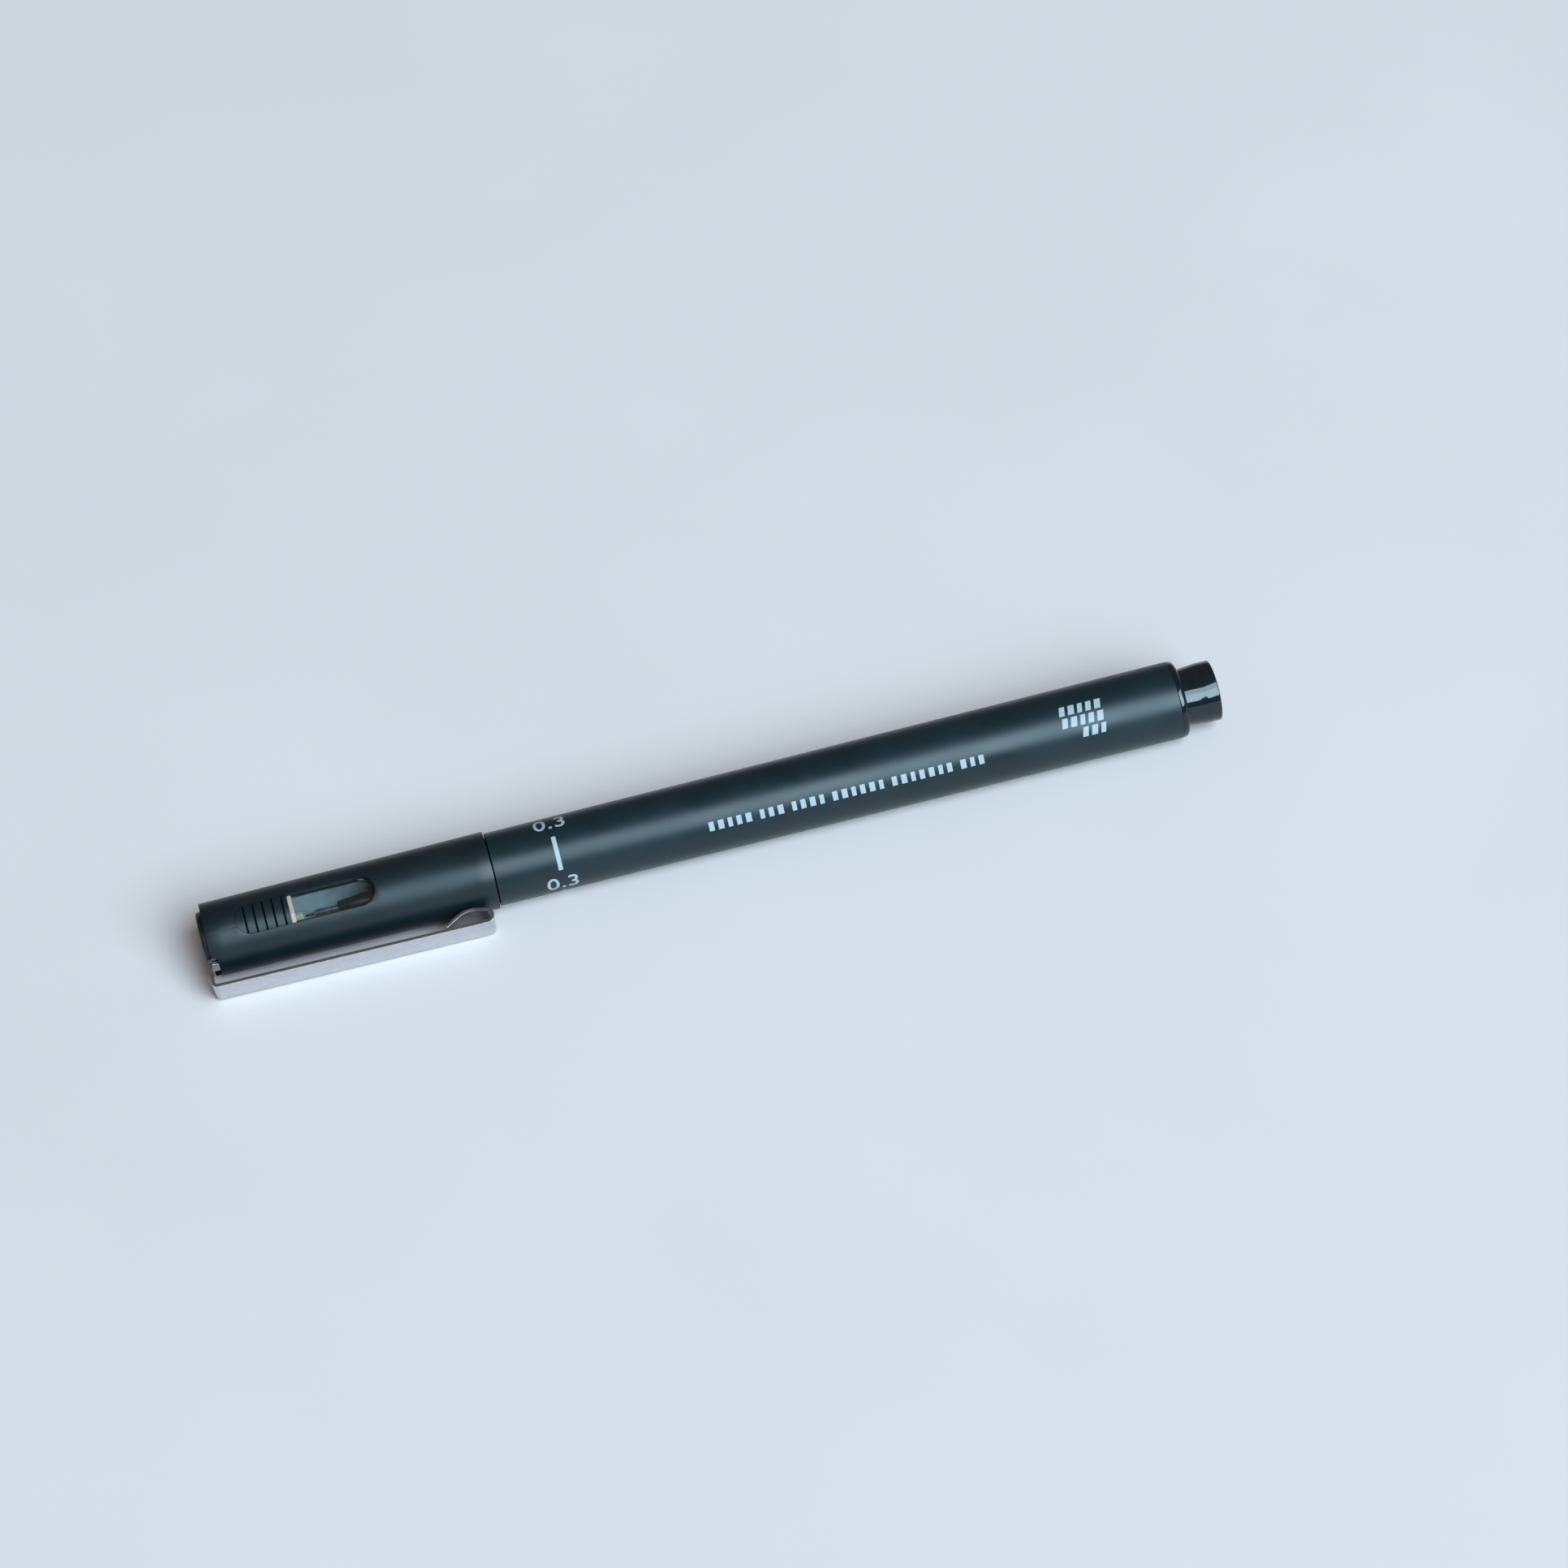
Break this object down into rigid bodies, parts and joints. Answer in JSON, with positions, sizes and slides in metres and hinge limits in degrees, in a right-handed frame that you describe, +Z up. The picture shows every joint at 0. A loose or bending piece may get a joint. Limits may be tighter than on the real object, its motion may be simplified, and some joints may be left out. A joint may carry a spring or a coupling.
{
  "type": "felt tip marker",
  "caption": "Capped fibre-tip drawing pen with a slim round barrel, a pull-off cap with a sight window and a sprung steel pocket clip.",
  "frame": {"origin": "centre of the footprint, on the surface that the pen lies on", "axes": "+X along the pen from the cap's closed end to the tail, -Y towards the pocket clip, +Z up"},
  "size_m": [0.137, 0.0134, 0.0103],
  "materials": {
    "cap_plastic": "matte moulded polypropylene, black",
    "barrel_plastic": "matte moulded polypropylene, black, printed in white",
    "print_ink": "white printing ink on the barrel",
    "plug_plastic": "glossy moulded black",
    "nose_plastic": "satin moulded black",
    "pane_clear": "clear moulded styrene, slightly smoky",
    "seal_rubber": "cream elastomer",
    "liner_plastic": "natural polyethylene",
    "clip_steel": "polished spring steel",
    "sleeve_steel": "drawn stainless steel tube",
    "nib_fibre": "ink-soaked acrylic fibre nib",
    "feed_fibre": "bonded polyester fibre, soaked in black ink",
    "film_plastic": "thin wrapping film"
  },
  "bodies": {
    "barrel": {"barrel_tube": "barrel_plastic", "nose_section": "nose_plastic", "tip_holder": "nose_plastic", "nib_sleeve": "sleeve_steel", "fibre_nib": "nib_fibre", "ink_wick": "feed_fibre", "wick_collar": "liner_plastic", "ink_reservoir": "feed_fibre", "reservoir_film": "film_plastic", "tail_plug": "plug_plastic"},
    "cap": {"cap_shell": "cap_plastic", "cap_end_plug": "cap_plastic", "ribbed_insert": "cap_plastic", "seal_disc": "seal_rubber", "window_pane": "pane_clear", "seal_liner": "liner_plastic"},
    "clip": {"pocket_clip": "clip_steel"}
  },
  "joints": [
    {"name": "cap_pull", "type": "slide", "parent": "barrel", "child": "cap", "axis": [-1, 0, 0], "range_m": [0, 0.032]},
    {"name": "clip_flex", "type": "hinge", "parent": "cap", "child": "clip", "pos_m": [-0.0682, -0.00196, 0.00381], "axis": [0, 0.3584, -0.9336], "range_deg": [0, 3.5], "stiffness_Nm_per_rad": 0.5}
  ]
}
